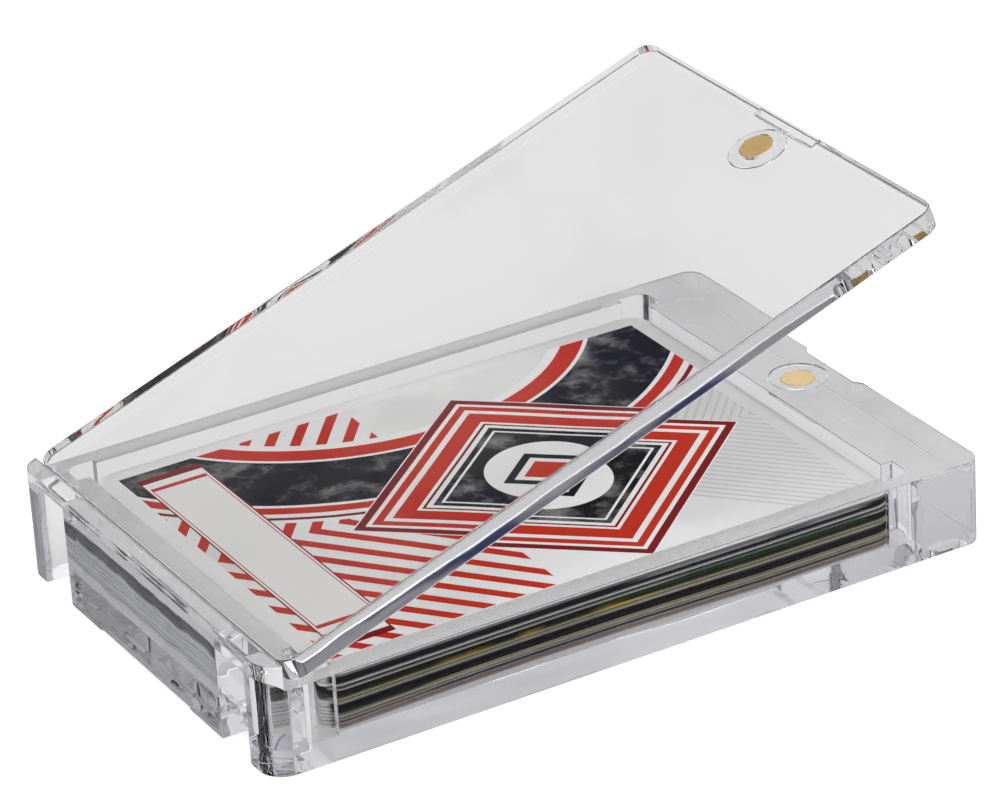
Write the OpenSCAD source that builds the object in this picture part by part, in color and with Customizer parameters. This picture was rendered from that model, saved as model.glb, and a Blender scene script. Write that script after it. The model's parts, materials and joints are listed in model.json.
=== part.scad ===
// Trading card display case: a clear case with a magnetic lid, shown open with a stack
// of cards in its well. Millimetres. +Z is up, +X runs from the hinge end to the magnet
// end, -Y is the near side, and the origin is at the centre of the base's underside.

/* [Cards] */
// Length of a card
card_l = 88.9; // [70:0.1:120]
// Width of a card
card_w = 63.5; // [50:0.1:90]
// Thickness of a card
card_t = 0.4; // [0.2:0.05:0.8]
// Number of cards in the stack
card_count = 16; // [6:1:24]
// Corner radius of a card
card_corner_r = 3.2; // [1:0.1:6]

/* [Well] */
// Free play beside the cards, on each side
card_side_play = 0.65; // [0.3:0.05:1.5]
// Free play at the end of the cards, at each end
card_end_play = 0.8; // [0.3:0.05:1.5]
// How far the stack lies towards the magnet end
stack_shift = 0.5; // [0:0.1:0.7]
// Headroom between the stack and the top of the walls
headroom = 3.5; // [2:0.1:8]
// Size of a corner relief along the well
relief_l = 4.3; // [3:0.1:8]
// Size of a corner relief across the well
relief_w = 4.2; // [3:0.1:8]
// How far a relief cuts into the end of the well
relief_end_cut = 1.8; // [0.5:0.1:2.5]
// How far a relief cuts into the side wall
relief_side_cut = 1.1; // [0.5:0.1:2]
// Radius of a relief's outer corner
relief_r = 1.8; // [0.5:0.1:2.5]

/* [Base] */
// Thickness of the floor
floor_t = 2.7; // [1.5:0.1:5]
// Thickness of each side wall
side_wall_t = 3.6; // [2.8:0.1:8]
// Length of the solid block at the hinge end
hinge_block_l = 8.3; // [7.9:0.1:16]
// Thickness of the raised wall at the hinge end
end_wall_t = 2.8; // [2.5:0.1:4]
// Length of the solid block at the magnet end
magnet_block_l = 12.2; // [12:0.1:24]
// Vertical corner radius of the base's magnet end and of the lid
corner_r = 2.5; // [1:0.1:4]
// Vertical corner radius of the two ears at the hinge end
ear_r = 3.7; // [1:0.1:5]

/* [Lid] */
// Thickness of the lid
lid_t = 3.5; // [3.2:0.1:6]
// Gap between the closed lid and the walls that it lies over
lid_seat_gap = 0.1; // [0.05:0.05:0.3]
// Gap between the lid and the raised end wall
lid_end_gap = 0.1; // [0.05:0.05:0.3]
// How far the lid's free edge lies behind the base's magnet end
lid_setback = 0.7; // [0:0.1:0.9]
// How far the lid stands open, in degrees
lid_open = 19.7; // [0:0.1:90]
// Width of the fingernail recess in the lid's free edge
nail_w = 14.3; // [8:0.1:24]
// How far the fingernail recess goes in
nail_d = 1.1; // [0.5:0.1:1.1]
// Thickness of the lid above the fingernail recess
nail_skin = 2.5; // [1.5:0.1:2.9]

/* [Hinge] */
// Width of each outer ear
ear_w = 5.9; // [4:0.1:10]
// Width of each slot beside the ears
slot_w = 7.9; // [5:0.1:12]
// How far each hook tab reaches under its strap
tab_reach = 2.2; // [1:0.1:2.4]
// Thickness of a hook tab
tab_t = 2; // [1.2:0.1:2.2]
// Gap between a tab and the strap above it
strap_gap = 0.2; // [0.1:0.05:0.3]
// Gap at each side of a tab
tab_side_gap = 0.3; // [0.15:0.05:0.6]
// Gap behind the tab as it swings
tab_swing_gap = 0.3; // [0.2:0.05:0.6]
// Height of the bevel along the top of the tongue
tongue_bevel_h = 0.9; // [0.3:0.1:1.5]
// Depth of the bevel along the top of the tongue
tongue_bevel_d = 0.4; // [0.1:0.1:1]
// Width of the shallow relief under the tongue
sole_w = 26; // [10:0.5:40]
// Height of the shallow relief under the tongue
sole_h = 0.4; // [0.2:0.1:1]

/* [Finger scoop] */
// Width of the finger scoop in the base's magnet end
scoop_w = 14.2; // [8:0.1:24]
// Depth of the finger scoop
scoop_d = 0.9; // [0.4:0.1:1.2]
// Height of the finger scoop
scoop_h = 4.5; // [2:0.1:6]
// Length of the slope at each end of the scoop
scoop_slope = 1.2; // [0.4:0.1:3]

/* [Magnets] */
// Diameter of each disc magnet
magnet_d = 5; // [3:0.1:6]
// Thickness of each disc magnet
magnet_t = 1.2; // [1:0.1:2.2]
// Distance from the magnet end to the centre of the magnets
magnet_setback = 6.3; // [6.3:0.1:6.8]
// Diameter of the clear cap over each magnet
cap_d = 8.4; // [7.6:0.1:8.4]
// Thickness of the cap
cap_t = 0.4; // [0.3:0.05:0.6]
// Radial gap round a magnet and round a cap
magnet_fit = 0.05; // [0.03:0.01:0.15]

/* [Hidden] */
$fn = 96;
// overshoot of a cutter past the face that it leaves
over = 1;

well_l = card_l + 2 * card_end_play;
well_w = card_w + 2 * card_side_play;
stack_h = card_count * card_t;
wall_h = floor_t + stack_h + headroom;

base_l = hinge_block_l + well_l + magnet_block_l;
base_w = well_w + 2 * side_wall_t;
hinge_x = -base_l / 2;
magnet_end_x = base_l / 2;
near_y = -base_w / 2;
well_x = hinge_x + hinge_block_l;

// the closed lid's underside and the height of the raised end wall, which it is level with
lid_z = wall_h + lid_seat_gap;
end_wall_h = lid_z + lid_t;
lid_x = hinge_x + end_wall_t + lid_end_gap;
lid_end_x = magnet_end_x - lid_setback;
lid_l = lid_end_x - lid_x;

tab_w = slot_w - 2 * tab_side_gap;
tongue_w = base_w - 2 * (ear_w + slot_w);
strap_t = lid_t - tab_t - strap_gap;
// the tab's lower corner swings about the lid's top edge, and passes behind the shelf's edge
tab_corner_r = norm([tab_reach, lid_t]);
tab_dip = sqrt(max(0, pow(tab_corner_r, 2) - pow(end_wall_h - wall_h, 2)));
slot_depth = end_wall_t + lid_end_gap + tab_dip + tab_swing_gap;

magnet_x = magnet_end_x - magnet_setback;

top_card_z = floor_t + stack_h - card_t;
card_x = well_x + card_end_play + stack_shift;

function card_name(i) = str("card_", i < 10 ? "0" : "", i);

// a plate from the origin, with its own corner radius at the low x end and the high x end
module rounded_plate(l, w, t, r_low, r_high) {
    linear_extrude(t) {
        translate([r_low, 0]) square([l - r_low - r_high, w]);
        translate([0, r_low]) square([l, w - 2 * r_low]);
        if (r_high < r_low) translate([l / 2, r_high]) square([l / 2, w - 2 * r_high]);
        for (y = [r_low, w - r_low]) translate([r_low, y]) circle(r_low);
        for (y = [r_high, w - r_high]) translate([l - r_high, y]) circle(r_high);
    }
}

// repeats its children on the near and the far side
module both_sides() {
    children();
    mirror([0, 1, 0]) children();
}

// repeats its children at both ends of the well
module both_well_ends() {
    children();
    translate([2 * well_x + well_l, 0, 0]) mirror([1, 0, 0]) children();
}

// the round-cornered relief in one corner of the well, down to the floor
module corner_relief(h) {
    x = well_x - relief_end_cut;
    y = -well_w / 2 - relief_side_cut;
    translate([x, y, floor_t]) linear_extrude(h) {
        translate([relief_r, 0]) square([relief_l - relief_r, relief_w]);
        translate([0, relief_r]) square([relief_l, relief_w - relief_r]);
        translate([relief_r, relief_r]) circle(relief_r);
    }
}

module well() {
    h = end_wall_h;
    translate([well_x, -well_w / 2, floor_t]) cube([well_l, well_w, h]);
    both_sides() both_well_ends() corner_relief(h);
}

// the open slot beside one ear, bridged by the strap above it
module hinge_slot() {
    translate([hinge_x - over, near_y + ear_w, -over])
        cube([slot_depth + over, slot_w, end_wall_h - strap_t + over]);
}

// the bevel along the top of the tongue's front
module tongue_bevel() {
    translate([hinge_x, tongue_w / 2, end_wall_h])
        rotate([90, 0, 0])
            linear_extrude(tongue_w)
                polygon([
                    [-over, over], [tongue_bevel_d, over], [tongue_bevel_d, 0],
                    [0, -tongue_bevel_h], [-over, -tongue_bevel_h]
                ]);
}

// the shallow relief in the underside of the tongue
module sole_relief() {
    translate([hinge_x - over, -sole_w / 2, -over])
        cube([slot_depth + over, sole_w, sole_h + over]);
}

// the finger scoop in the top of the magnet end, with sloping ends
module finger_scoop() {
    translate([magnet_end_x, 0, wall_h - scoop_h])
        linear_extrude(scoop_h + over)
            polygon([
                [over, -scoop_w / 2], [over, scoop_w / 2], [0, scoop_w / 2],
                [-scoop_d, scoop_w / 2 - scoop_slope], [-scoop_d, -scoop_w / 2 + scoop_slope],
                [0, -scoop_w / 2]
            ]);
}

// the stepped pocket for a magnet and its cap, down from the face that it opens at
module magnet_pocket() {
    translate([0, 0, -cap_t]) cylinder(d = cap_d + 2 * magnet_fit, h = cap_t + over);
    translate([0, 0, -cap_t - magnet_t]) cylinder(d = magnet_d + 2 * magnet_fit, h = magnet_t + over);
}

module base() {
    color([0.82, 0.85, 0.88, 0.45])
        difference() {
            intersection() {
                translate([hinge_x, near_y, 0])
                    rounded_plate(base_l, base_w, end_wall_h, ear_r, corner_r);
                translate([hinge_x - over, near_y - over, 0]) union() {
                    cube([base_l + 2 * over, base_w + 2 * over, wall_h]);
                    cube([end_wall_t + over, base_w + 2 * over, end_wall_h + over]);
                }
            }
            well();
            both_sides() hinge_slot();
            tongue_bevel();
            sole_relief();
            finger_scoop();
            translate([magnet_x, 0, wall_h]) magnet_pocket();
        }
}

// moves a piece of the closed lid to where the lid stands open
module lid_pose() {
    pivot = [lid_x, 0, end_wall_h];
    translate(pivot) rotate([0, -lid_open, 0]) translate(-pivot) children();
}

module hook_tab() {
    translate([lid_x - tab_reach, near_y + ear_w + tab_side_gap, lid_z])
        cube([tab_reach + over, tab_w, tab_t]);
}

module lid() {
    color([0.88, 0.9, 0.92, 0.4])
        lid_pose() difference() {
            union() {
                translate([lid_x, near_y, lid_z])
                    rounded_plate(lid_l, base_w, lid_t, corner_r, corner_r);
                both_sides() hook_tab();
            }
            translate([lid_end_x - nail_d, -nail_w / 2, lid_z - over])
                cube([nail_d + over, nail_w, lid_t - nail_skin + over]);
            translate([magnet_x, 0, lid_z]) mirror([0, 0, 1]) magnet_pocket();
        }
}

module disc_magnet() {
    color([0.85, 0.7, 0.35]) cylinder(d = magnet_d, h = magnet_t);
}

module magnet_cap() {
    color([0.9, 0.92, 0.94, 0.4]) cylinder(d = cap_d, h = cap_t);
}

module base_magnet() {
    translate([magnet_x, 0, wall_h - cap_t - magnet_t]) disc_magnet();
}

module base_magnet_cap() {
    translate([magnet_x, 0, wall_h - cap_t]) magnet_cap();
}

module lid_magnet() {
    lid_pose() translate([magnet_x, 0, lid_z + cap_t]) disc_magnet();
}

module lid_magnet_cap() {
    lid_pose() translate([magnet_x, 0, lid_z]) magnet_cap();
}

module card_blank(z) {
    translate([card_x, -card_w / 2, z])
        rounded_plate(card_l, card_w, card_t, card_corner_r, card_corner_r);
}

module card(i) {
    color(i % 3 == 0 ? [0.12, 0.12, 0.14] : [0.62, 0.58, 0.52]) card_blank(floor_t + (i - 1) * card_t);
}

module top_card() {
    color([0.8, 0.25, 0.2]) card_blank(top_card_z);
}

base();
lid();
base_magnet();
base_magnet_cap();
lid_magnet();
lid_magnet_cap();
for (i = [1 : card_count - 1])
    card(i);
top_card();
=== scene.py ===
"""Looks of a trading card display case.

A clear moulded base and lid, disc magnets under clear caps, and a stack of cards in the well.
Lengths are in metres, in the frame of the packed model: +Z up, +X from the hinge end to the
magnet end, -Y the near side, and the origin at the centre of the base's underside.
"""

import json
import math
import random

import bpy
from mathutils import Matrix, Vector


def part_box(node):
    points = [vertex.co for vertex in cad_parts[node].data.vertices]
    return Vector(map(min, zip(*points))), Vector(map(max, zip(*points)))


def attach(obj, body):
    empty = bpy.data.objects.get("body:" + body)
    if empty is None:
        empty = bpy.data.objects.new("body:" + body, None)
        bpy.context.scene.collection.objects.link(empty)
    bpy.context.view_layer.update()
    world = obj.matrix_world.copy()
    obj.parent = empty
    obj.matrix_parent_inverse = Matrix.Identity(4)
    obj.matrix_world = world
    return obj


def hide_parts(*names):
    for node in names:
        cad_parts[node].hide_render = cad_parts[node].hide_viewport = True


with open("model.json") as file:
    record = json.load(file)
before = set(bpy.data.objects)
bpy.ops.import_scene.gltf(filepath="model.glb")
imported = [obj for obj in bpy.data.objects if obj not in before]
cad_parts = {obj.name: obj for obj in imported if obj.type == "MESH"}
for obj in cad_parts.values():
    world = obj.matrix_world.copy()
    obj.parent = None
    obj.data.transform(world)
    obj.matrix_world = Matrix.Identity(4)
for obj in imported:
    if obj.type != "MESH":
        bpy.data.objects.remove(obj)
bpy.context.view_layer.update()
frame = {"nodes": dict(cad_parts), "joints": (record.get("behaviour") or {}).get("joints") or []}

bl_info = {
    "name": "Trading Card Display Case",
    "version": (1, 0, 0),
    "blender": (4, 5, 0),
    "location": "View3D > Sidebar > Card Case",
    "description": "Builds a clear magnetic card case with a stack of cards",
    "category": "Object",
}

MM = 0.001
PANEL_TAB = "Card Case"
# light that runs along inside the clear plates turns many times before it leaves them
CLEAR_BOUNCES = 32
# a hair's breadth that keeps seated faces apart
SEAT = 0.01 * MM
# how far a cutter reaches past the face that it opens
PAST = 1 * MM
# points this close to a line or to each other count as on it
NEAR = 1e-5
TOUCHING = 1e-6
# the attribute that runs from 0 to 1 through a card's thickness
THROUGH = "through"
# how softly the streak on a card's edge, partly print seen between the cards and partly painted reflection,
# comes and goes
EDGE_REFLECTION_FADE = 4 * MM
# how many strips a card is cut into along its length
BOW_STRIPS = 24
# where the lower layer of a card's edge gives way to the upper, as shares of its thickness
LAYER_LINE = (0.42, 0.58)
# hairline scratches: how far they are drawn out along each axis, how far they are turned, and the
# level of the noise above which one shows
HAIRLINE_STRETCH = (40, 900, 300)
HAIRLINE_TURN = math.radians(24)
HAIRLINE_LEVEL = 0.71
# moulding ripples are drawn out along the case
RIPPLE_STRETCH = (0.25, 1, 1)

base_low, base_high = (Vector(corner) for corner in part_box("base"))
card_low, card_high = (Vector(corner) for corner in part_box("top_card"))
magnet_low, magnet_high = (Vector(corner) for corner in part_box("base_magnet"))
cap_low, cap_high = (Vector(corner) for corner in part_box("base_magnet_cap"))
lid_joint = next(joint for joint in frame["joints"] if joint["name"] == "lid_hinge")
lid_pivot = Vector(lid_joint["pos_m"])
lid_rest_angle = -math.radians(lid_joint["range_deg"][0])
card_nodes = sorted(name for name in frame["nodes"] if name.startswith("card_")) + ["top_card"]


def length(name, millimetres, description):
    """A length property, in metres, whose default is given in millimetres."""
    return bpy.props.FloatProperty(
        name=name, description=description, default=millimetres * MM, min=0, unit="LENGTH", precision=5
    )


def colour(name, rgb, description):
    """A colour property."""
    return bpy.props.FloatVectorProperty(
        name=name, description=description, default=rgb, min=0, max=1, size=3, subtype="COLOR"
    )


def number(name, value, description):
    """A plain number property."""
    return bpy.props.FloatProperty(name=name, description=description, default=value)


class CaseSizes(bpy.types.PropertyGroup):
    """Sizes of the clear base and lid"""

    wall_height: length("Wall height", 12.6, "Height of the side walls and of the magnet end")
    floor: length("Floor", 2.7, "Thickness of the floor")
    side_wall: length("Side wall", 3.6, "Thickness of each side wall")
    hinge_block: length("Hinge block", 8.3, "From the hinge end to the well")
    magnet_block: length("Magnet block", 12.2, "From the well to the magnet end")
    end_wall: length("End wall", 2.8, "Thickness of the raised wall at the hinge end")
    corner_radius: length("Corner radius", 2.5, "Vertical corners at the magnet end")
    ear_radius: length("Ear radius", 3.7, "Vertical corners of the ears at the hinge end")
    ear_width: length("Ear width", 5.9, "Width of each outer ear")
    slot_width: length("Slot width", 7.9, "Width of each slot beside the ears")
    slot_depth: length("Slot depth", 5.23, "Depth of each slot")
    strap: length("Strap", 1.3, "Thickness of the strap over each slot")
    relief_length: length("Relief length", 4.3, "Corner relief, along the well")
    relief_width: length("Relief width", 4.2, "Corner relief, across the well")
    relief_end_cut: length("Relief end cut", 1.8, "How far a relief cuts into the end of the well")
    relief_side_cut: length("Relief side cut", 1.1, "How far a relief cuts into the side wall")
    relief_radius: length("Relief radius", 1.8, "Outer corner of a relief")
    tongue_bevel_height: length("Tongue bevel height", 0.9, "Bevel along the top of the tongue")
    tongue_bevel_depth: length("Tongue bevel depth", 0.4, "Bevel along the top of the tongue")
    sole_width: length("Sole width", 26, "Width of the shallow relief under the tongue")
    sole_height: length("Sole height", 0.4, "Height of the shallow relief under the tongue")
    scoop_width: length("Scoop width", 14.2, "Finger scoop in the magnet end")
    scoop_depth: length("Scoop depth", 0.9, "Finger scoop in the magnet end")
    scoop_height: length("Scoop height", 4.5, "Finger scoop in the magnet end")
    scoop_slope: length("Scoop slope", 1.2, "Length of the slope at each end of the scoop")
    lid_thickness: length("Lid thickness", 3.5, "Thickness of the lid")
    lid_setback: length("Lid setback", 0.7, "From the lid's free edge to the base's magnet end")
    tab_reach: length("Tab reach", 2.2, "How far each hook tab reaches under its strap")
    tab_thickness: length("Tab thickness", 2.0, "Thickness of each hook tab")
    tab_gap: length("Tab gap", 0.3, "Gap at each side of a tab")
    nail_width: length("Nail recess width", 14.3, "Fingernail recess in the lid's free edge")
    nail_depth: length("Nail recess depth", 1.1, "Fingernail recess in the lid's free edge")
    nail_skin: length("Nail recess skin", 2.5, "Thickness of the lid over the fingernail recess")
    magnet_fit: length("Magnet fit", 0.05, "Gap round a cap and round a magnet")
    edge_round: length("Edge rounding", 0.42, "Rounding of the base's edges")
    lid_round: length("Lid edge rounding", 0.5, "Rounding of the lid's edges")
    disc_round: length("Disc rounding", 0.2, "Rounding of the caps and magnets")
    fine_round: length("Fine rounding", 0.22, "Rounding of small cuts")


class CardSizes(bpy.types.PropertyGroup):
    """Sizes of the cards and how the stack bows"""

    thickness: length("Card thickness", 0.37, "Thickness of one card")
    corner_radius: length("Card corner radius", 3.2, "Corner radius of a card")
    top_bow: length("Top bow", 1.6, "How far the top card bows up")
    magnet_end_rise: length("Magnet end rise", 1.3, "How far the top card stands up at the magnet end")
    bottom_bow: length("Bottom bow", 0.6, "How far the lowest card bows up")
    stray: length("Stray", 0.16, "How far a card lies out of line with its neighbours")


class AcrylicLook(bpy.types.PropertyGroup):
    """Tints of the clear plastic"""

    base_tint: colour("Base tint", (0.975, 0.977, 0.98), "Tint of the base")
    lid_tint: colour("Lid tint", (0.98, 0.976, 0.968), "Tint of the lid")
    cap_tint: colour("Cap tint", (0.98, 0.98, 0.98), "Tint of the caps")
    depth_tint: colour("Depth tint", (0.44, 0.44, 0.49), "Colour that light takes on deep inside")
    depth_density: number("Depth density", 8.0, "How quickly light takes on that colour")
    face_on_mirror: number("Face-on mirror", 0.15, "How strongly polished faces mirror when seen face on")
    scratch: number("Scratch", 0.03, "Roughness of the hairline scratches")
    haze: number("Haze", 0.015, "Roughness that handling adds")
    base_wave: number("Base wave", 1.6, "Height of the faint waves in the base")
    lid_wave: number("Lid wave", 0.6, "Height of the faint waves in the lid and the caps")
    ripple: number("Ripple", 3.0, "Height of the ripples at the base's ends and along the lid's sides")
    ior: number("Index of refraction", 1.535, "Index of refraction of acrylic")


class PrintLook(bpy.types.PropertyGroup):
    """Inks of the printed top card"""

    paper: colour("Paper", (0.86, 0.86, 0.855), "White ground of the card")
    red: colour("Red", (0.56, 0.035, 0.015), "Bright red ink")
    maroon: colour("Maroon", (0.22, 0.012, 0.012), "Dark red ink")
    black: colour("Black", (0.009, 0.009, 0.011), "Black ink")
    grey: colour("Grey", (0.5, 0.5, 0.5), "Grey ink")
    edge: colour("Edge", (0.3, 0.3, 0.32), "Cut edge of the card")


class StageLook(bpy.types.PropertyGroup):
    """Floor, lamps and camera"""

    floor_tint: colour("Floor tint", (0.8, 0.8, 0.8), "Floor as it lights the object")
    floor_through: colour("Floor through", (0.38, 0.38, 0.38), "Floor as it shows through clear pieces")
    floor_mirrored: colour("Floor mirrored", (0.12, 0.12, 0.15), "Floor as polished surfaces mirror it")
    seen_white: number("Seen white", 0.5, "Light added to the floor where the camera sees it")
    seen_through: number("Seen through", 0.40, "Light added to the floor where it shows through clear pieces")
    sweep_colour: colour("Sweep colour", (0.95, 0.95, 0.95), "The pale sweep low down behind the object")
    room_dark: colour("Room dark", (0.05, 0.055, 0.13), "The dark parts of the room above the sweep")
    room_pale: colour("Room pale", (0.36, 0.36, 0.38), "The pale parts of the room above the sweep")
    camera_side_share: number("Camera side", 0.55, "Brightness of the camera's side, as a share")
    soft_box: number("Soft box", 2.0, "Brightness of the soft box overhead")
    key_power: number("Key power", 3.0, "Power of the large lamp over the near side, in watts")
    lens: number("Lens", 180.33, "Focal length of the camera for a 36 mm sensor, in millimetres")


# ---------------------------------------------------------------- modelling helpers


def deselect():
    """Leaves nothing selected, so that the next operator acts on its own object only."""
    if bpy.context.object and bpy.context.object.mode != "OBJECT":
        bpy.ops.object.mode_set(mode="OBJECT")
    bpy.ops.object.select_all(action="DESELECT")


def pick(piece):
    """Makes one object the selected and active one."""
    deselect()
    piece.select_set(True)
    bpy.context.view_layer.objects.active = piece


def settle(piece):
    """Moves an object's place into its mesh."""
    pick(piece)
    bpy.ops.object.transform_apply(location=True, rotation=True, scale=True)


def add_block(name, low, high):
    """A block between two corners."""
    low = Vector(low)
    high = Vector(high)
    deselect()
    bpy.ops.mesh.primitive_cube_add(size=1, location=(low + high) / 2, scale=high - low)
    piece = bpy.context.object
    piece.name = name
    settle(piece)
    return piece


def add_rod(name, centre, radius, low, high, sides=72):
    """An upright round rod between two heights."""
    deselect()
    place = (centre[0], centre[1], (low + high) / 2)
    bpy.ops.mesh.primitive_cylinder_add(vertices=sides, radius=radius, depth=high - low, location=place)
    piece = bpy.context.object
    piece.name = name
    settle(piece)
    return piece


def enter_with(piece, kind, chosen):
    """Goes into edit mode with only the chosen edges or points selected."""
    pick(piece)
    bpy.ops.object.mode_set(mode="EDIT")
    bpy.ops.mesh.select_mode(type=kind)
    bpy.ops.mesh.select_all(action="DESELECT")
    bpy.ops.object.mode_set(mode="OBJECT")
    for element in piece.data.edges if kind == "EDGE" else piece.data.vertices:
        element.select = chosen(element)
    bpy.ops.object.mode_set(mode="EDIT")


def move_points(piece, chosen, by):
    """Moves the points whose place is chosen."""
    enter_with(piece, "VERT", lambda point: chosen(point.co))
    bpy.ops.transform.translate(value=by)
    bpy.ops.object.mode_set(mode="OBJECT")


def round_edges(piece, radius, chosen, segments=2):
    """Rounds the edges whose two end points are chosen."""
    enter_with(piece, "EDGE", lambda edge: chosen(*(piece.data.vertices[i].co for i in edge.vertices)))
    bpy.ops.mesh.bevel(offset=radius, offset_type="OFFSET", segments=segments, affect="EDGES")
    bpy.ops.object.mode_set(mode="OBJECT")


def round_corners(piece, radius, chosen, segments=14):
    """Rounds the upright edges whose x, y place is chosen."""
    round_edges(piece, radius, lambda a, b: (a - b).xy.length < TOUCHING and chosen(a.x, a.y), segments)


def finish_modifier(piece, modifier):
    """Applies a modifier for good."""
    pick(piece)
    bpy.ops.object.modifier_apply(modifier=modifier.name)


def combine(piece, other, operation):
    """Joins another solid to a piece, or cuts it out, and deletes the other solid."""
    modifier = piece.modifiers.new(operation.title(), "BOOLEAN")
    modifier.operation = operation
    modifier.solver = "EXACT"
    modifier.object = other
    finish_modifier(piece, modifier)
    pick(other)
    bpy.ops.object.delete()


def soften_edges(piece, width, segments=3):
    """Rounds every sharp edge a little, as a mould leaves it."""
    modifier = piece.modifiers.new("Moulded edges", "BEVEL")
    modifier.width = width
    modifier.segments = segments
    modifier.limit_method = "ANGLE"
    modifier.angle_limit = math.radians(40)
    modifier.miter_outer = "MITER_ARC"
    finish_modifier(piece, modifier)


def smooth_faces(piece, degrees=32):
    """Shades bevels and round faces smooth, and keeps flat faces flat."""
    pick(piece)
    bpy.ops.object.shade_smooth_by_angle(angle=math.radians(degrees))
    modifier = piece.modifiers.new("Flat faces", "WEIGHTED_NORMAL")
    modifier.keep_sharp = True
    modifier.weight = 100
    finish_modifier(piece, modifier)


def clean_faces(piece):
    """Merges doubles that a cut leaves."""
    pick(piece)
    bpy.ops.object.mode_set(mode="EDIT")
    bpy.ops.mesh.select_all(action="SELECT")
    bpy.ops.mesh.remove_doubles(threshold=2e-7)
    bpy.ops.object.mode_set(mode="OBJECT")


def open_lid(piece):
    """Turns a piece of the closed lid to where the lid stands open."""
    turn = Matrix.Rotation(-lid_rest_angle, 4, "Y")
    there = Matrix.Translation(lid_pivot)
    piece.data.transform(there @ turn @ there.inverted())


def dress(piece, material, body, slot, *nodes):
    """Gives a piece its material, the body that it rides on and the nodes that it stands for."""
    piece.data.materials.clear()
    piece.data.materials.append(material)
    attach(piece, body)
    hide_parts(*nodes)


# ---------------------------------------------------------------- material helpers


def new_material(name):
    """A material with a Principled BSDF, and its node tree."""
    material = bpy.data.materials.new(name)
    material.use_nodes = True
    tree = material.node_tree
    return material, tree, tree.nodes["Principled BSDF"]


def node(tree, kind, **settings):
    """A new node with settings."""
    made = tree.nodes.new(kind)
    for key, value in settings.items():
        setattr(made, key, value)
    return made


def feed(tree, value, socket):
    """Links an output to a socket, or sets the socket to a constant."""
    if isinstance(value, bpy.types.NodeSocket):
        tree.links.new(value, socket)
    else:
        socket.default_value = value


def calc(tree, operation, *values):
    """A Math node of the values."""
    made = node(tree, "ShaderNodeMath", operation=operation)
    for value, socket in zip(values, made.inputs):
        feed(tree, value, socket)
    return made.outputs[0]


def smooth_step(tree, value, start, end, low, high):
    """A value that goes smoothly from low to high as another goes from start to end."""
    made = node(tree, "ShaderNodeMapRange", interpolation_type="SMOOTHSTEP")
    for setting, socket in zip((value, start, end, low, high), made.inputs):
        feed(tree, setting, socket)
    return made.outputs[0]


def blend_colour(tree, mask, under, over):
    """One colour over another through a mask."""
    made = node(tree, "ShaderNodeMix", data_type="RGBA")
    colours = [socket for socket in made.inputs if socket.type == "RGBA"]
    feed(tree, mask, made.inputs[0])
    feed(tree, under, colours[0])
    feed(tree, over, colours[1])
    return next(socket for socket in made.outputs if socket.type == "RGBA")


def rgba(rgb):
    """A colour with full alpha."""
    return (rgb[0], rgb[1], rgb[2], 1)


def noise(tree, place, scale, detail=3.0, roughness=0.5):
    """The value of a Noise texture."""
    made = node(tree, "ShaderNodeTexNoise")
    feed(tree, place, made.inputs["Vector"])
    made.inputs["Scale"].default_value = scale
    made.inputs["Detail"].default_value = detail
    made.inputs["Roughness"].default_value = roughness
    return made.outputs["Fac"]


def object_place(tree):
    """The Object coordinates."""
    return node(tree, "ShaderNodeTexCoord").outputs["Object"]


def stretched(tree, place, scale, turn=0):
    """Coordinates scaled along each axis, and turned about Z."""
    made = node(tree, "ShaderNodeMapping")
    made.inputs["Rotation"].default_value = (0, 0, turn)
    made.inputs["Scale"].default_value = scale
    feed(tree, place, made.inputs["Vector"])
    return made.outputs[0]


def along_axes(tree, place):
    """The X, Y and Z of coordinates, each by its name."""
    made = node(tree, "ShaderNodeSeparateXYZ")
    feed(tree, place, made.inputs[0])
    return made.outputs


def new_group(name, inputs, outputs):
    """A shader node group with named float or vector sockets, and its two end nodes."""
    tree = bpy.data.node_groups.new(name, "ShaderNodeTree")
    for label, kind, default in inputs:
        socket = tree.interface.new_socket(label, in_out="INPUT", socket_type=kind)
        if default is not None:
            socket.default_value = default
    for label, kind in outputs:
        tree.interface.new_socket(label, in_out="OUTPUT", socket_type=kind)
    return tree, tree.nodes.new("NodeGroupInput"), tree.nodes.new("NodeGroupOutput")


def use_group(tree, group, **values):
    """A node of a group with its own values."""
    made = node(tree, "ShaderNodeGroup", node_tree=group)
    for label, value in values.items():
        feed(tree, value, made.inputs[label.replace("_", " ")])
    return made


def handling_marks_group():
    """Faint scratches and finger haze, for every polished surface: a roughness and a height."""
    group, start, end = new_group(
        "Handling marks",
        [
            ("Vector", "NodeSocketVector", None),
            ("Scratch", "NodeSocketFloat", 0.02),
            ("Haze", "NodeSocketFloat", 0.02),
            ("Wave", "NodeSocketFloat", 1.0),
            ("Ripple", "NodeSocketFloat", 0.0),
        ],
        [("Roughness", "NodeSocketFloat"), ("Height", "NodeSocketFloat")],
    )
    place = start.outputs["Vector"]
    hairline_place = stretched(group, place, HAIRLINE_STRETCH, HAIRLINE_TURN)
    hairline = noise(group, hairline_place, scale=3.0, detail=2.0)
    scratched = calc(group, "GREATER_THAN", hairline, HAIRLINE_LEVEL)
    smear_and_reflection = noise(group, place, scale=60.0, detail=4.0, roughness=0.6)
    haze = calc(group, "MULTIPLY", smear_and_reflection, start.outputs["Haze"])
    lines = calc(group, "MULTIPLY", scratched, start.outputs["Scratch"])
    feed(group, calc(group, "ADD", haze, lines), end.inputs["Roughness"])
    wave = calc(group, "MULTIPLY", noise(group, place, scale=42.0, detail=1.0), start.outputs["Wave"])
    ripple = noise(group, stretched(group, place, RIPPLE_STRETCH), scale=130.0, detail=1.0)
    ripple = calc(group, "MULTIPLY", ripple, start.outputs["Ripple"])
    feed(group, calc(group, "ADD", wave, ripple), end.inputs["Height"])
    return group


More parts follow.
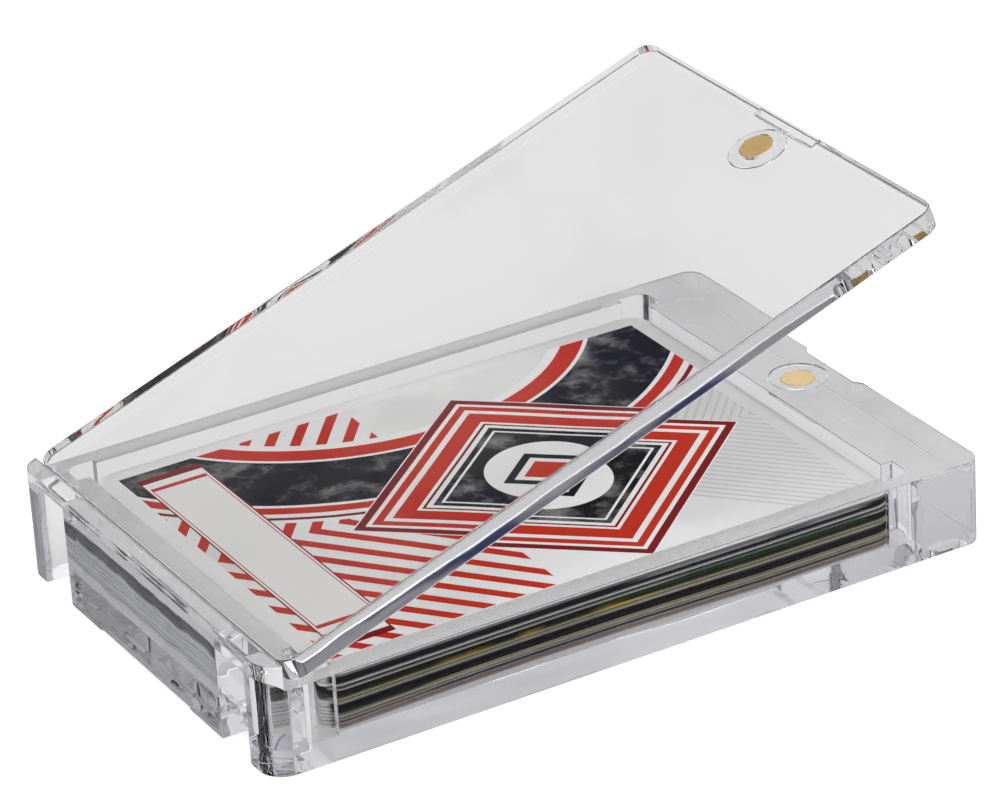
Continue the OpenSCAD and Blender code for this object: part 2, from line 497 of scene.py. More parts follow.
def paper_fibre_group():
    """Paper fibre and handling on card stock: a shade and a height."""
    group, start, end = new_group(
        "Paper fibre",
        [("Vector", "NodeSocketVector", None), ("Depth", "NodeSocketFloat", 0.2)],
        [("Shade", "NodeSocketFloat"), ("Height", "NodeSocketFloat")],
    )
    place = start.outputs["Vector"]
    fibre = noise(group, place, scale=2600.0, detail=3.0, roughness=0.7)
    cloud = noise(group, place, scale=120.0, detail=2.0)
    swing = calc(group, "SUBTRACT", calc(group, "ADD", fibre, cloud), 1.0)
    swing = calc(group, "MULTIPLY", swing, start.outputs["Depth"])
    feed(group, calc(group, "ADD", 1.0, swing), end.inputs["Shade"])
    feed(group, fibre, end.inputs["Height"])
    return group


def shared_group(name, build):
    """A node group that is built once."""
    return bpy.data.node_groups.get(name) or build()


def handling_marks():
    """The group of handling marks."""
    return shared_group("Handling marks", handling_marks_group)


def paper_fibre():
    """The group of paper fibre."""
    return shared_group("Paper fibre", paper_fibre_group)


def raise_surface(tree, shader, height, strength, distance):
    """Gives a shader the fine relief of a height."""
    bump = node(tree, "ShaderNodeBump")
    bump.inputs["Strength"].default_value = strength
    bump.inputs["Distance"].default_value = distance
    feed(tree, height, bump.inputs["Height"])
    feed(tree, bump.outputs[0], shader.inputs["Normal"])


def ripple_at_ends(tree, axes):
    """Where the base is rippled, below its tops: at the hinge end, and a little at the magnet end."""
    hinge_end = smooth_step(tree, axes["X"], base_low.x + 9 * MM, base_low.x + 6 * MM, 0, 1)
    under_raised_top = smooth_step(tree, axes["Z"], base_high.z - 0.6 * MM, base_high.z - 1 * MM, 0, 1)
    magnet_end = smooth_step(tree, axes["X"], card_high.x + 1 * MM, card_high.x + 3 * MM, 0, 0.35)
    under_top = smooth_step(tree, axes["Z"], cap_high.z - 0.3 * MM, cap_high.z - 0.6 * MM, 0, 1)
    hinge_end = calc(tree, "MULTIPLY", hinge_end, under_raised_top)
    magnet_end = calc(tree, "MULTIPLY", magnet_end, under_top)
    return calc(tree, "ADD", hinge_end, magnet_end)


def ripple_at_sides(tree, axes):
    """Where the lid is rippled: along its two long edges."""
    across = calc(tree, "ABSOLUTE", axes["Y"])
    return smooth_step(tree, across, base_high.y - 0.5 * MM, base_high.y - 0.3 * MM, 0, 0.4)


def acrylic(name, tint, wave, rippled=None):
    """Clear polished acrylic with faint moulding waves, which tints light that goes deep."""
    look = bpy.context.scene.acrylic_look
    material, tree, shader = new_material(name)
    shader.inputs["Base Color"].default_value = rgba(tint)
    shader.inputs["Metallic"].default_value = 0
    shader.inputs["Transmission Weight"].default_value = 1
    shader.inputs["IOR"].default_value = look.ior
    shader.inputs["Specular Tint"].default_value = rgba([look.face_on_mirror] * 3)
    place = object_place(tree)
    worn = use_group(tree, handling_marks(), Vector=place, Scratch=look.scratch, Haze=look.haze, Wave=wave)
    if rippled:
        ripple = calc(tree, "MULTIPLY", rippled(tree, along_axes(tree, place)), look.ripple)
        feed(tree, ripple, worn.inputs["Ripple"])
    feed(tree, worn.outputs["Roughness"], shader.inputs["Roughness"])
    raise_surface(tree, shader, worn.outputs["Height"], strength=0.15, distance=0.4 * MM)
    depth = node(tree, "ShaderNodeVolumeAbsorption")
    depth.inputs["Color"].default_value = rgba(look.depth_tint)
    depth.inputs["Density"].default_value = look.depth_density
    feed(tree, depth.outputs[0], tree.nodes["Material Output"].inputs["Volume"])
    return material


def gold_plate(name):
    """Gold-plated steel with a satin face, and paler steel below it."""
    material, tree, shader = new_material(name)
    place = object_place(tree)
    cloud = noise(tree, place, scale=700.0, detail=3.0)
    tone = blend_colour(tree, cloud, (0.80, 0.56, 0.20, 1), (0.93, 0.74, 0.36, 1))
    under = calc(tree, "LESS_THAN", along_axes(tree, place)["Z"], magnet_high.z - 0.3 * MM)
    tone = blend_colour(tree, under, tone, (0.75, 0.75, 0.77, 1))
    feed(tree, tone, shader.inputs["Base Color"])
    shader.inputs["Metallic"].default_value = 1
    worn = use_group(tree, handling_marks(), Vector=place, Scratch=0.2, Haze=0.25, Wave=1.0)
    feed(tree, calc(tree, "ADD", worn.outputs["Roughness"], 0.42), shader.inputs["Roughness"])
    grain = noise(tree, place, scale=2500.0, detail=2.0)
    raise_surface(tree, shader, grain, strength=0.2, distance=0.1 * MM)
    return material


def shade_with_fibre(tree, shader, place, tone, depth, strength, distance):
    """Finishes a paper surface: fibre in its colour and in its relief."""
    worn = use_group(tree, paper_fibre(), Vector=place, Depth=depth)
    shaded = node(tree, "ShaderNodeVectorMath", operation="SCALE")
    feed(tree, tone, shaded.inputs[0])
    feed(tree, worn.outputs["Shade"], shaded.inputs["Scale"])
    feed(tree, shaded.outputs[0], shader.inputs["Base Color"])
    raise_surface(tree, shader, worn.outputs["Height"], strength, distance)


def share_through(tree):
    """How far through a card's thickness a point lies, from 0 to 1."""
    return node(tree, "ShaderNodeAttribute", attribute_name=THROUGH).outputs["Fac"]


def card_stock(name, lower, upper, smear_and_reflection, reach, hinge_end):
    """Pressed card seen at its edge: two layers, whose dark tones are partly painted shade of the gaps
    between cards, and a tone that comes and goes along it, partly the printed faces seen between the cards
    and partly a painted reflection of them.
    """
    material, tree, shader = new_material(name)
    place = object_place(tree)
    x = along_axes(tree, place)["X"]
    start, end = (card_low.x + share * (card_high.x - card_low.x) for share in reach)
    rise = smooth_step(tree, x, start - EDGE_REFLECTION_FADE, start + EDGE_REFLECTION_FADE, 0, 1)
    fall = smooth_step(tree, x, end - EDGE_REFLECTION_FADE, end + EDGE_REFLECTION_FADE, 1, 0)
    drift = smooth_step(tree, noise(tree, place, scale=75.0, detail=1.0), 0.4, 0.55, 0, 1)
    patch = calc(tree, "MULTIPLY", drift, calc(tree, "MULTIPLY", rise, fall))
    # the two layers' dark tones stand partly for painted shade in the gaps between the cards
    in_upper = smooth_step(tree, share_through(tree), *LAYER_LINE, 0, 1)
    tone = blend_colour(tree, in_upper, rgba(lower), rgba(upper))
    # a streak of painted reflection of the printed faces between the cards, partly their print seen there
    tone = blend_colour(tree, patch, tone, rgba(smear_and_reflection))
    at_end = smooth_step(tree, x, card_low.x + 1.6 * MM, card_low.x + 0.8 * MM, 0, 1)
    tone = blend_colour(tree, at_end, tone, rgba([hinge_end] * 3))
    shade_with_fibre(tree, shader, place, tone, depth=0.3, strength=0.3, distance=0.03 * MM)
    shader.inputs["Roughness"].default_value = 0.6
    shader.inputs["Specular IOR Level"].default_value = 0.02
    return material


# ---------------------------------------------------------------- the printed card


# the print, in millimetres from the card's middle. Each line of a figure has its distance from the
# figure's centre, half its width and its ink.
ARC_CENTRE = (2.0, 54.0)
ARC_RADIUS = 47.0
ARC_LINES = ((38.6, 1.5, "red"), (54.9, 0.9, "red"), (57.2, 0.35, "maroon"))
DIAMOND_CENTRE = (8.0, -3.0)
DIAMOND_LINES = ((29.4, 0.9, "maroon"), (26.6, 0.9, "red"), (22.4, 1.9, "red"), (19.4, 0.3, "maroon"))
PLATE_X = -35.0
BORDER = (41.6, 29.2)


def printed_card():
    """Glossy printed card: arcs, nested diamonds, chevrons and plain bands in red, black and grey."""
    look = bpy.context.scene.print_look
    inks = {name: rgba(getattr(look, name)) for name in ("paper", "red", "maroon", "black", "grey", "edge")}
    material, tree, shader = new_material("printed_card")
    place = object_place(tree)
    centred = node(tree, "ShaderNodeMapping")
    middle = (card_low + card_high) / 2
    centred.inputs["Location"].default_value = (-middle.x, -middle.y, 0)
    feed(tree, place, centred.inputs["Vector"])
    in_millimetres = node(tree, "ShaderNodeVectorMath", operation="SCALE")
    feed(tree, centred.outputs[0], in_millimetres.inputs[0])
    in_millimetres.inputs["Scale"].default_value = 1 / MM
    axes = along_axes(tree, in_millimetres.outputs[0])
    x = axes["X"]
    y = axes["Y"]
    tone = inks["paper"]

    def total(a, b):
        return calc(tree, "ADD", a, b)

    def times(a, b):
        return calc(tree, "MULTIPLY", a, b)

    def size(a):
        return calc(tree, "ABSOLUTE", a)

    def under(a, limit):
        return calc(tree, "LESS_THAN", a, limit)

    def over(a, limit):
        return calc(tree, "GREATER_THAN", a, limit)

    def band(a, centre, half_width):
        return calc(tree, "COMPARE", a, centre, half_width)

    def bars(a, period, share):
        return under(calc(tree, "FRACT", calc(tree, "DIVIDE", a, period)), share)

    def from_point(px, py):
        across = total(x, -px)
        along = total(y, -py)
        return calc(tree, "SQRT", total(times(across, across), times(along, along)))

    def lay(mask, ink):
        """Prints an ink, by its name, or any colour."""
        nonlocal tone
        tone = blend_colour(tree, mask, tone, inks.get(ink, ink))

    # paper with a faint cloud, greyer towards the magnet end: partly grey print, partly painted shade of the
    # card's bow
    lay(smooth_step(tree, noise(tree, place, scale=60.0, detail=4.0), 0.45, 0.75, 0, 0.35), "grey")
    grey_print_and_shade = smooth_step(tree, x, 12.0, 40.0, 0, 0.55)
    lay(grey_print_and_shade, "grey")
    # the border greys the same way, with the same print and painted shade
    border = blend_colour(tree, grey_print_and_shade, inks["paper"], inks["grey"])

    # thin grey chevrons, one inside the other, over the magnet end
    nested = total(x, times(size(total(y, 2.0)), -0.9))
    pin = times(bars(nested, 1.7, 0.3), times(over(x, 14.0), over(nested, 6.0)))
    lay(times(pin, 0.75), "grey")

    # red chevrons that point to the hinge end
    chevron = total(x, times(size(y), -0.8))
    lay(times(bars(chevron, 4.6, 0.42), times(under(x, -6.0), under(chevron, -14.0))), "red")

    # wide arcs round the far side, black with a soft grey light in them
    sweep = from_point(*ARC_CENTRE)
    soft = smooth_step(tree, noise(tree, place, scale=150.0, detail=5.0, roughness=0.65), 0.46, 0.74, 0, 0.5)
    charcoal = blend_colour(tree, soft, inks["black"], inks["grey"])
    lay(band(sweep, ARC_RADIUS, 11.4), "paper")
    lay(band(sweep, ARC_RADIUS, 6.3), charcoal)
    for distance, half_width, ink in ARC_LINES:
        lay(band(sweep, distance, half_width), ink)

    # nested diamonds
    across = times(size(total(y, -DIAMOND_CENTRE[1])), 1.15)
    diamond = total(size(total(x, -DIAMOND_CENTRE[0])), across)
    lay(under(diamond, 30.6), "paper")
    for distance, half_width, ink in DIAMOND_LINES:
        lay(band(diamond, distance, half_width), ink)
    lay(under(diamond, 18.0), charcoal)
    lay(band(diamond, 16.4, 0.3), "paper")

    # a white disc in the middle, with a small diamond on it
    lay(under(from_point(*DIAMOND_CENTRE), 8.6), "paper")
    lay(band(diamond, 6.0, 0.9), "black")
    lay(under(diamond, 3.6), "red")

    # a plain white plate in a maroon band across the hinge end
    plate = calc(tree, "MAXIMUM", times(size(total(x, -PLATE_X)), 5.6), size(y))
    lay(under(plate, 27.2), "maroon")
    lay(under(plate, 25.8), "paper")
    lay(band(plate, 23.6, 0.45), "red")

    # a pale border all round
    for axis, edge in zip((x, y), BORDER):
        lay(over(size(axis), edge), border)

    # the cut edge is grey
    lay(smooth_step(tree, share_through(tree), 0.9, 0.99, 1, 0), "edge")

    shade_with_fibre(tree, shader, place, tone, depth=0.06, strength=0.1, distance=0.02 * MM)
    shader.inputs["Roughness"].default_value = 0.3
    shader.inputs["Specular IOR Level"].default_value = 0.01
    return material


# ---------------------------------------------------------------- operators


def magnet_pocket(size):
    """The stepped pocket for a magnet and its cap, where they lie in the base."""
    centre = (cap_low + cap_high) / 2
    cap_radius = (cap_high.x - cap_low.x) / 2 + size.magnet_fit
    magnet_radius = (magnet_high.x - magnet_low.x) / 2 + size.magnet_fit
    pocket = add_rod("pocket", centre, cap_radius, cap_low.z - SEAT, cap_high.z + PAST)
    bore = add_rod("bore", centre, magnet_radius, magnet_low.z - SEAT, cap_low.z + PAST / 10)
    combine(pocket, bore, "UNION")
    return pocket


def round_mouth(piece, centre, height, size):
    """Rounds the rim of a magnet pocket at a height."""
    radius = (cap_high.x - cap_low.x) / 2 + size.magnet_fit

    def on_rim(point):
        return abs(point.z - height) < TOUCHING and abs((point - centre).xy.length - radius) < 2 * NEAR

    round_edges(piece, size.fine_round, lambda a, b: on_rim(a) and on_rim(b))


def turn_to_lid(piece, size):
    """Turns a piece of the base's magnet seat over, into its place in the closed lid."""
    seat_top = cap_high.z
    lid_underside = lid_pivot.z - size.lid_thickness
    centre = (cap_low + cap_high) / 2
    flip = Matrix.Translation((centre.x, centre.y, lid_underside)) @ Matrix.Rotation(math.pi, 4, "X")
    piece.data.transform(flip @ Matrix.Translation((-centre.x, -centre.y, -seat_top)))


class CASE_OT_base(bpy.types.Operator):
    """Builds the clear base with its well, corner reliefs, hinge slots and finger scoop"""

    bl_idname = "case.add_base"
    bl_label = "Base"

    def execute(self, context):
        size = context.scene.case_sizes
        look = context.scene.acrylic_look
        piece = add_block("clear_base", base_low, base_high)
        round_corners(piece, size.corner_radius, lambda x, y: x > 0)
        round_corners(piece, size.ear_radius, lambda x, y: x < base_low.x + NEAR)

        step_low = (base_low.x + size.end_wall, base_low.y - PAST, size.wall_height)
        combine(piece, add_block("step", step_low, base_high + Vector((PAST, PAST, PAST))), "DIFFERENCE")
        combine(piece, self.well_cutter(size), "DIFFERENCE")
        for side in (-1, 1):
            combine(piece, self.slot_cutter(size, side), "DIFFERENCE")
        clean_faces(piece)
        soften_edges(piece, size.edge_round)

        combine(piece, self.tongue_cutter(size), "DIFFERENCE")
        sole = add_block(
            "sole",
            (base_low.x - PAST, -size.sole_width / 2, -PAST),
            (base_low.x + size.slot_depth, size.sole_width / 2, size.sole_height),
        )
        combine(piece, sole, "DIFFERENCE")
        combine(piece, self.scoop_cutter(size), "DIFFERENCE")
        combine(piece, magnet_pocket(size), "DIFFERENCE")
        clean_faces(piece)
        round_mouth(piece, (cap_low + cap_high) / 2, size.wall_height, size)
        smooth_faces(piece)
        clear = acrylic("clear_base", look.base_tint, look.base_wave, ripple_at_ends)
        dress(piece, clear, "base", "clear_base", "base")
        return {"FINISHED"}

    def well_cutter(self, size):
        """The well with a round-cornered relief in each corner."""
        top = base_high.z + PAST
        low = Vector((base_low.x + size.hinge_block, base_low.y + size.side_wall, size.floor))
        high = Vector((base_high.x - size.magnet_block, base_high.y - size.side_wall, top))
        well = add_block("well", low, high)
        for end in (-1, 1):
            for side in (-1, 1):
                corner_x = low.x - size.relief_end_cut if end < 0 else high.x + size.relief_end_cut
                corner_y = low.y - size.relief_side_cut if side < 0 else high.y + size.relief_side_cut
                inner = (corner_x - end * size.relief_length, corner_y - side * size.relief_width)
                relief = add_block(
                    "relief",
                    (min(corner_x, inner[0]), min(corner_y, inner[1]), size.floor),
                    (max(corner_x, inner[0]), max(corner_y, inner[1]), top),
                )
                outer = (corner_x, corner_y)
                round_corners(
                    relief,
                    size.relief_radius,
                    lambda x, y: abs(x - outer[0]) < NEAR and abs(y - outer[1]) < NEAR,
                    segments=8,
                )
                combine(well, relief, "UNION")
        return well

    def slot_cutter(self, size, side):
        """An open slot beside one ear."""
        edge = side * (base_high.y - size.ear_width)
        inner = edge - side * size.slot_width
        return add_block(
            "slot",
            (base_low.x - PAST, min(edge, inner), -PAST),
            (base_low.x + size.slot_depth, max(edge, inner), base_high.z - size.strap),
        )

    def tongue_cutter(self, size):
        """The bevel along the top of the tongue's front."""
        half = base_high.y - size.ear_width - size.slot_width
        bevel = add_block(
            "tongue_bevel",
            (base_low.x - PAST, -half, base_high.z - size.tongue_bevel_height),
            (base_low.x + size.tongue_bevel_depth, half, base_high.z + PAST),
        )
        slope = (-size.tongue_bevel_depth, 0, 0)
        move_points(bevel, lambda place: place.x > base_low.x and place.z < base_high.z, slope)
        return bevel

    def scoop_cutter(self, size):
        """The finger scoop, whose ends slope in towards its floor."""
        half = size.scoop_width / 2
        past_half = half + PAST * size.scoop_slope / size.scoop_depth
        scoop = add_block(
            "scoop",
            (base_high.x - size.scoop_depth, -past_half, size.wall_height - size.scoop_height),
            (base_high.x + PAST, past_half, size.wall_height + PAST),
        )
        inward = past_half - (half - size.scoop_slope)
        for side in (-1, 1):
            move_points(
                scoop,
                lambda place: place.x < base_high.x and place.y * side > 0,
                (0, -side * inward, 0),
            )
        return scoop


class CASE_OT_lid(bpy.types.Operator):
    """Builds the clear lid with its hook tabs, fingernail recess and magnet pocket"""

    bl_idname = "case.add_lid"
    bl_label = "Lid"

    def execute(self, context):
        size = context.scene.case_sizes
        look = context.scene.acrylic_look
        top = lid_pivot.z
        bottom = top - size.lid_thickness
        free_edge = base_high.x - size.lid_setback
        piece = add_block("clear_lid", (lid_pivot.x, base_low.y, bottom), (free_edge, base_high.y, top))
        round_corners(piece, size.corner_radius, lambda x, y: True)
        for side in (-1, 1):
            outer = side * (base_high.y - size.ear_width - size.tab_gap)
            inner = side * (base_high.y - size.ear_width - size.slot_width + size.tab_gap)
            tab = add_block(
                "tab",
                (lid_pivot.x - size.tab_reach, min(outer, inner), bottom),
                (lid_pivot.x + size.corner_radius, max(outer, inner), bottom + size.tab_thickness),
            )
            combine(piece, tab, "UNION")
        clean_faces(piece)
        soften_edges(piece, size.lid_round)
        nail = add_block(
            "nail",
            (free_edge - size.nail_depth, -size.nail_width / 2, bottom - PAST),
            (free_edge + PAST, size.nail_width / 2, top - size.nail_skin),
        )
        combine(piece, nail, "DIFFERENCE")
        pocket = magnet_pocket(size)
        turn_to_lid(pocket, size)
        combine(piece, pocket, "DIFFERENCE")
        clean_faces(piece)
        round_mouth(piece, (cap_low + cap_high) / 2, bottom, size)
        recess_low = Vector((free_edge - size.nail_depth, -size.nail_width / 2, bottom))
        recess_high = Vector((free_edge, size.nail_width / 2, top - size.nail_skin))

        def in_recess(point):
            return all(
                low - TOUCHING < at < high + TOUCHING
                for low, at, high in zip(recess_low, point, recess_high)
            )

        round_edges(piece, size.fine_round, lambda a, b: in_recess(a) and in_recess(b))
        smooth_faces(piece)
        open_lid(piece)
        clear = acrylic("clear_lid", look.lid_tint, look.lid_wave, ripple_at_sides)
        dress(piece, clear, "lid", "clear_lid", "lid")
        return {"FINISHED"}


class CASE_OT_magnets(bpy.types.Operator):
    """Builds the two gold disc magnets and the clear caps over them"""

    bl_idname = "case.add_magnets"
    bl_label = "Magnets and caps"

    def execute(self, context):
        size = context.scene.case_sizes
        look = context.scene.acrylic_look
        gold = gold_plate("gold_magnet")
        clear = acrylic("clear_cap", look.cap_tint, look.lid_wave)
        centre = (cap_low + cap_high) / 2
        for body in ("base", "lid"):
            magnet = add_rod("disc", centre, (magnet_high.x - magnet_low.x) / 2, magnet_low.z, magnet_high.z)
            cap = add_rod("cover", centre, (cap_high.x - cap_low.x) / 2, cap_low.z + SEAT, cap_high.z)
            for piece, material, kind in ((magnet, gold, "magnet"), (cap, clear, "magnet_cap")):
                soften_edges(piece, size.disc_round)
                smooth_faces(piece)
                if body == "lid":
                    turn_to_lid(piece, size)
                    open_lid(piece)
                piece.name = body + "_" + piece.name
                slot = "gold_magnet" if piece is magnet else "clear_cap"
                dress(piece, material, body, slot, body + "_" + kind)
        return {"FINISHED"}


# the cards from the lowest to the highest: the colours of the lower and the upper layer of the edge, whose
# darkest tones are partly the cards' own dark edges and partly painted shade of the gaps between the bowed
# cards; a smear that comes and goes, partly the printed faces seen between the cards and partly a painted
# reflection of them; where along the card it does (as shares of its length); and the brightness of the short
# edge at the hinge end
CARD_EDGES_AND_GAP_SHADE = (
    ((0.36, 0.28, 0.28), (0.36, 0.28, 0.28), (0.42, 0.34, 0.34), (0.0, 1.0), 0.88),
    ((0.33, 0.27, 0.27), (0.30, 0.25, 0.25), (0.40, 0.34, 0.32), (0.0, 1.0), 0.88),
    ((0.03, 0.03, 0.025), (0.46, 0.46, 0.45), (0.34, 0.32, 0.30), (0.0, 0.3), 0.88),
    ((0.40, 0.40, 0.38), (0.49, 0.45, 0.33), (0.50, 0.47, 0.36), (0.0, 1.0), 0.88),
    ((0.46, 0.42, 0.30), (0.012, 0.012, 0.012), (0.03, 0.03, 0.02), (0.0, 0.2), 0.88),
    ((0.008, 0.008, 0.010), (0.008, 0.008, 0.010), (0.014, 0.014, 0.018), (0.0, 1.0), 0.88),
    ((0.008, 0.008, 0.010), (0.02, 0.02, 0.02), (0.05, 0.05, 0.05), (0.7, 1.0), 0.88),
    ((0.30, 0.30, 0.29), (0.42, 0.40, 0.35), (0.46, 0.44, 0.36), (0.0, 1.0), 0.88),
    ((0.62, 0.58, 0.36), (0.16, 0.14, 0.05), (0.85, 0.62, 0.06), (0.05, 0.55), 0.10),
    ((0.04, 0.036, 0.02), (0.010, 0.010, 0.010), (0.66, 0.30, 0.02), (0.05, 0.48), 0.10),
    ((0.008, 0.009, 0.009), (0.008, 0.009, 0.009), (0.012, 0.06, 0.016), (0.35, 0.98), 0.02),
    ((0.60, 0.60, 0.58), (0.20, 0.21, 0.15), (0.18, 0.18, 0.18), (0.6, 1.0), 0.02),
    ((0.02, 0.02, 0.03), (0.75, 0.75, 0.73), (0.30, 0.30, 0.30), (0.0, 0.2), 0.88),
    ((0.008, 0.009, 0.014), (0.008, 0.009, 0.014), (0.014, 0.015, 0.022), (0.0, 1.0), 0.88),
    ((0.010, 0.011, 0.016), (0.012, 0.013, 0.018), (0.42, 0.42, 0.42), (0.55, 1.0), 0.88),
)


class CASE_OT_cards(bpy.types.Operator):
    """Builds the bowed stack of cards, with a printed card on top"""

    bl_idname = "case.add_cards"
    bl_label = "Cards"

    def execute(self, context):
        blank = self.card_blank(context.scene.card_sizes)
        dice = random.Random(7)
        count = len(card_nodes)
        for index, node_name in enumerate(card_nodes):
            piece = bpy.data.objects.new(node_name.replace("card", "stack_card"), blank.data.copy())
            context.collection.objects.link(piece)
            self.lay(piece, context.scene.card_sizes, index, count, dice)
            if node_name == "top_card":
                material = printed_card()
                slot = "printed_card"
            else:
                material = card_stock(f"stock_{index + 1:02d}", *CARD_EDGES_AND_GAP_SHADE[index])
                slot = "card_stock"
            smooth_faces(piece, 40)
            dress(piece, material, "cards", slot, node_name)
        pick(blank)
        bpy.ops.object.delete()
        return {"FINISHED"}

    def card_blank(self, size):
        """A thin card with round corners, cut across so that it can bow."""
        low = Vector((card_low.x, card_low.y, 0))
        high = Vector((card_high.x, card_high.y, size.thickness))
        blank = add_block("card_blank", low, high)
        round_corners(blank, size.corner_radius, lambda x, y: True, segments=8)
        pick(blank)
        bpy.ops.object.mode_set(mode="EDIT")
        for strip in range(1, BOW_STRIPS):
            bpy.ops.mesh.select_all(action="SELECT")
            cut_x = low.x + (high.x - low.x) * strip / BOW_STRIPS
            bpy.ops.mesh.bisect(plane_co=(cut_x, 0, 0), plane_no=(1, 0, 0))
        bpy.ops.object.mode_set(mode="OBJECT")
        through = blank.data.attributes.new(THROUGH, "FLOAT", "POINT")
        for point, share in zip(blank.data.vertices, through.data):
            share.value = point.co.z / size.thickness
        return blank

    def lay(self, piece, size, index, count, dice):
        """Sets a card at its height in the stack, a little out of line and bowed."""
        share = index / (count - 1)
        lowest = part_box(card_nodes[0])[0][2]
        height = lowest + 0.03 * MM + share * (card_low.z - lowest)
        slide = Vector((dice.uniform(-1, 0.4) * size.stray, dice.uniform(-1, 1) * size.stray, 0))
        for point in piece.data.vertices:
            along = (point.co.x - card_low.x) / (card_high.x - card_low.x)
            low_bow = size.bottom_bow * math.sin(math.pi * min(1, along / 0.75))
            falling = min(1, max(0, (along - 0.35) / 0.65))
            falling = falling * falling * (3 - 2 * falling)
            high_bow = size.top_bow - (size.top_bow - size.magnet_end_rise) * falling
            point.co.z += height + low_bow + (high_bow - low_bow) * share
            point.co += slide


# the stage's floor: its width, and how far it lies below the case so that the two don't flicker
FLOOR_WIDTH = 6
FLOOR_DROP = 0.12 * MM
# the way from the camera past the object, along the floor
AWAY = (0.48, 0.88)
# where the parts of the sky change, as heights from 0 at the horizon to 1 overhead
SWEEP_END = (0.46, 0.58)
SOFT_BOX_START = (0.80, 0.90)
# each lamp's name, place, width and share of the key power, and where they all aim
LAMPS = (("key_lamp", (-0.35, -0.55, 0.9), 0.6, 1), ("back_lamp", (0.5, 0.6, 0.8), 0.4, 0.5))
LAMP_AIM = Vector((0, 0, 0.01))
# the photograph's viewpoint, fitted to the straight edges of the base
CAMERA_RIGHT = Vector((0.86044, -0.50666, -0.05425))
CAMERA_UP = Vector((0.26781, 0.35908, 0.89408))
CAMERA_BACK = Vector((-0.43352, -0.78382, 0.44466))
CAMERA_PLACE = Vector((-0.29476, -0.53469, 0.32731))


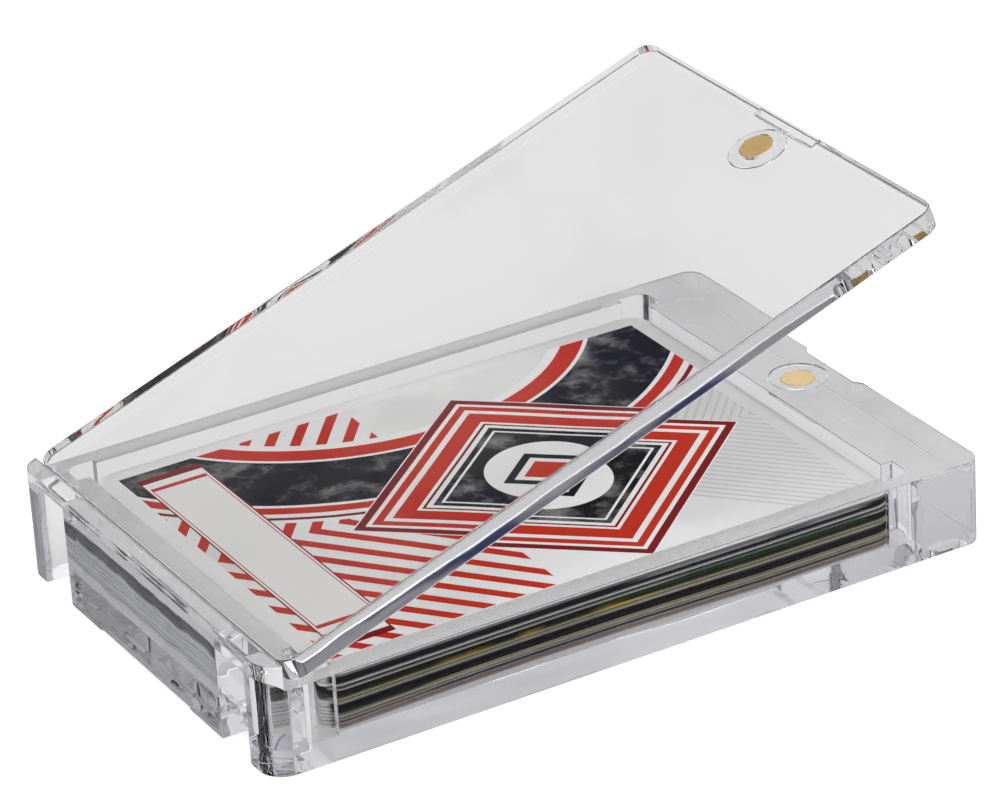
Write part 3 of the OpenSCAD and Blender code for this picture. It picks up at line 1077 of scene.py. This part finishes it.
class CASE_OT_stage(bpy.types.Operator):
    """Adds the pale floor, the soft studio light and the camera"""

    bl_idname = "case.add_stage"
    bl_label = "Stage"

    def execute(self, context):
        look = context.scene.stage_look
        self.add_floor(look)
        self.add_sky(context.scene, look)
        self.add_lamps(look)
        self.add_camera(context.scene, look)
        context.scene.view_settings.view_transform = "Standard"
        for kind in ("max_bounces", "glossy_bounces", "transmission_bounces"):
            setattr(context.scene.cycles, kind, CLEAR_BOUNCES)
        return {"FINISHED"}

    def add_floor(self, look):
        """A wide pale floor that shows as white and keeps a soft shadow."""
        deselect()
        bpy.ops.mesh.primitive_grid_add(
            x_subdivisions=8, y_subdivisions=8, size=FLOOR_WIDTH, location=(0, 0, -FLOOR_DROP)
        )
        floor = bpy.context.object
        floor.name = "floor"
        settle(floor)
        material, tree, shader = new_material("floor")
        shader.inputs["Roughness"].default_value = 0.9
        shader.inputs["Specular IOR Level"].default_value = 0
        seen = node(tree, "ShaderNodeLightPath")
        through = seen.outputs["Is Transmission Ray"]
        glow_direct = calc(tree, "MULTIPLY", seen.outputs["Is Camera Ray"], look.seen_white)
        glow_through = calc(tree, "MULTIPLY", through, look.seen_through)
        shader.inputs["Emission Color"].default_value = (1, 1, 1, 1)
        feed(tree, calc(tree, "ADD", glow_direct, glow_through), shader.inputs["Emission Strength"])
        mirrored = calc(tree, "SUBTRACT", seen.outputs["Is Glossy Ray"], through)
        tone = blend_colour(tree, through, rgba(look.floor_tint), rgba(look.floor_through))
        tone = blend_colour(tree, mirrored, tone, rgba(look.floor_mirrored))
        feed(tree, tone, shader.inputs["Base Color"])
        floor.data.materials.append(material)

    def add_sky(self, scene, look):
        """A pale sweep low down behind the object, a dim room above it, and a soft box overhead."""
        world = bpy.data.worlds.new("soft_studio")
        scene.world = world
        world.use_nodes = True
        tree = world.node_tree
        background = tree.nodes["Background"]
        direction = node(tree, "ShaderNodeTexCoord").outputs["Generated"]
        axes = along_axes(tree, direction)
        height = axes["Z"]
        along, across = (calc(tree, "MULTIPLY", axes[name], part) for name, part in zip("XY", AWAY))
        behind = calc(tree, "ADD", along, across)
        above_sweep = smooth_step(tree, height, *SWEEP_END, 0, 1)
        mottle = smooth_step(tree, noise(tree, direction, scale=26.0, detail=3.0), 0.38, 0.54, 0, 1)
        room = blend_colour(tree, mottle, rgba(look.room_dark), rgba(look.room_pale))
        tone = blend_colour(tree, above_sweep, rgba(look.sweep_colour), room)
        camera_side = smooth_step(tree, behind, -0.1, -0.5, 0, 1)
        dimmed = [level * look.camera_side_share for level in look.sweep_colour]
        tone = blend_colour(tree, camera_side, tone, rgba(dimmed))
        overhead = smooth_step(tree, height, *SOFT_BOX_START, 0, 1)
        tone = blend_colour(tree, overhead, tone, rgba([look.soft_box] * 3))
        feed(tree, tone, background.inputs["Color"])
        background.inputs["Strength"].default_value = 1

    def add_lamps(self, look):
        """One large soft lamp over the near side and a smaller one behind."""
        for name, place, width, share in LAMPS:
            data = bpy.data.lights.new(name, "AREA")
            data.shape = "SQUARE"
            data.size = width
            data.energy = look.key_power * share
            lamp = bpy.data.objects.new(name, data)
            lamp.location = place
            lamp.rotation_euler = (LAMP_AIM - Vector(place)).to_track_quat("-Z", "Y").to_euler()
            bpy.context.collection.objects.link(lamp)

    def add_camera(self, scene, look):
        """The camera at the photograph's viewing angle."""
        data = bpy.data.cameras.new("camera")
        data.sensor_width = 36
        data.lens = look.lens
        data.clip_start = 0.01
        data.clip_end = 20
        camera = bpy.data.objects.new("camera", data)
        bpy.context.collection.objects.link(camera)
        turn = Matrix((CAMERA_RIGHT, CAMERA_UP, CAMERA_BACK)).transposed().to_4x4()
        camera.matrix_world = Matrix.Translation(CAMERA_PLACE) @ turn
        scene.camera = camera


class CASE_PT_panel(bpy.types.Panel):
    """Lists the sizes, the looks and the steps that build the case"""

    bl_idname = "CASE_PT_panel"
    bl_label = "Trading Card Display Case"
    bl_space_type = "VIEW_3D"
    bl_region_type = "UI"
    bl_category = PANEL_TAB

    def draw(self, context):
        for group in GROUPS:
            box = self.layout.box()
            box.label(text=GROUPS[group].__doc__)
            settings = getattr(context.scene, group)
            for name in settings.bl_rna.properties.keys():
                if name not in ("rna_type", "name"):
                    box.prop(settings, name)
        for operator in OPERATORS:
            self.layout.operator(operator.bl_idname, text=operator.bl_label)


GROUPS = {
    "case_sizes": CaseSizes,
    "card_sizes": CardSizes,
    "acrylic_look": AcrylicLook,
    "print_look": PrintLook,
    "stage_look": StageLook,
}
OPERATORS = (CASE_OT_stage, CASE_OT_base, CASE_OT_lid, CASE_OT_magnets, CASE_OT_cards)


def register():
    """Registers the settings, the operators and the panel."""
    for group, kind in GROUPS.items():
        bpy.utils.register_class(kind)
        setattr(bpy.types.Scene, group, bpy.props.PointerProperty(type=kind))
    for kind in OPERATORS + (CASE_PT_panel,):
        bpy.utils.register_class(kind)


def unregister():
    """Takes the settings, the operators and the panel out again."""
    for kind in reversed(OPERATORS + (CASE_PT_panel,)):
        bpy.utils.unregister_class(kind)
    for group, kind in GROUPS.items():
        delattr(bpy.types.Scene, group)
        bpy.utils.unregister_class(kind)


def main():
    """Builds everything."""
    register()
    bpy.ops.case.add_stage()
    bpy.ops.case.add_base()
    bpy.ops.case.add_lid()
    bpy.ops.case.add_magnets()
    bpy.ops.case.add_cards()


if __name__ == "__main__":
    main()
